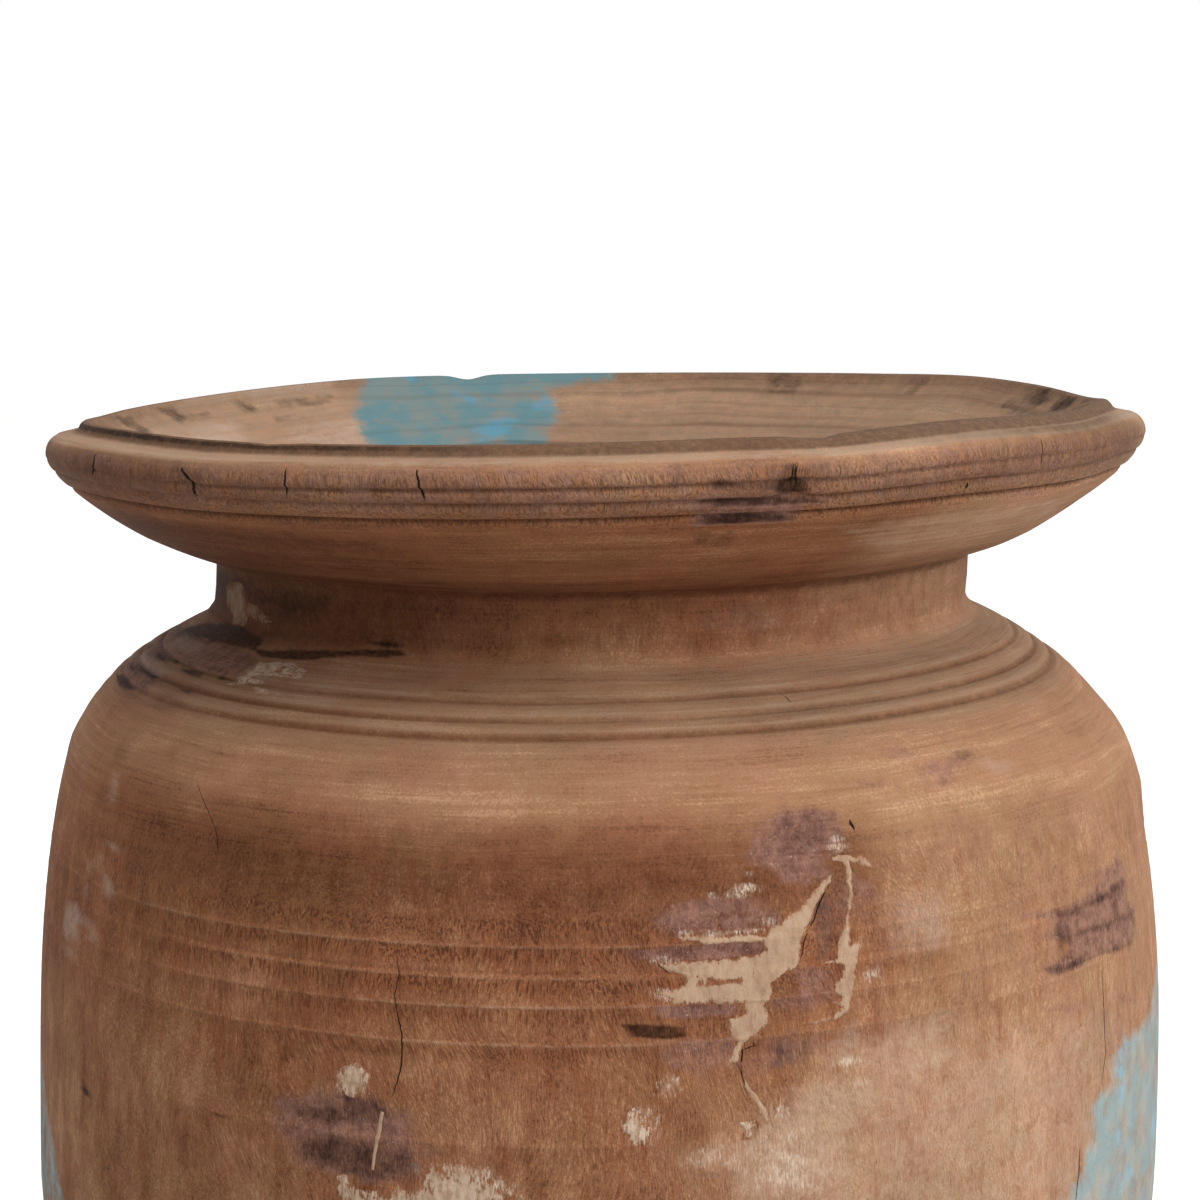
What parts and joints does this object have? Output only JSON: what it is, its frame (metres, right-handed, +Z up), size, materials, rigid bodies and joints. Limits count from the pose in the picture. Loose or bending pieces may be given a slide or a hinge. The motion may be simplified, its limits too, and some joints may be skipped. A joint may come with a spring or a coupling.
{
  "type": "necked pot",
  "caption": "Old turned wooden storage pot: barrel body, grooved shoulder, short neck and wide flared rim with a raised mouth edge, its splits mended with hard putty.",
  "frame": {"origin": "middle of the flat base the pot stands on", "axes": "+Z up along the turning axis towards the mouth; the mended front faces -Y"},
  "size_m": [0.3542, 0.3542, 0.38],
  "materials": {
    "wood": "weathered bare brown wood with remains of blue paint and dark stains",
    "putty": "dry sandy filler, pale brown and rough"
  },
  "bodies": {
    "root": {"turned_pot": "wood", "main_split_putty": "putty", "side_split_putty": "putty", "left_patch_putty": "putty", "centre_patch_putty": "putty", "right_patch_putty": "putty", "low_patch_putty": "putty", "left_check_putty": "putty", "right_check_putty": "putty", "shoulder_patch_putty": "putty", "neck_patch_putty": "putty"}
  },
  "joints": []
}
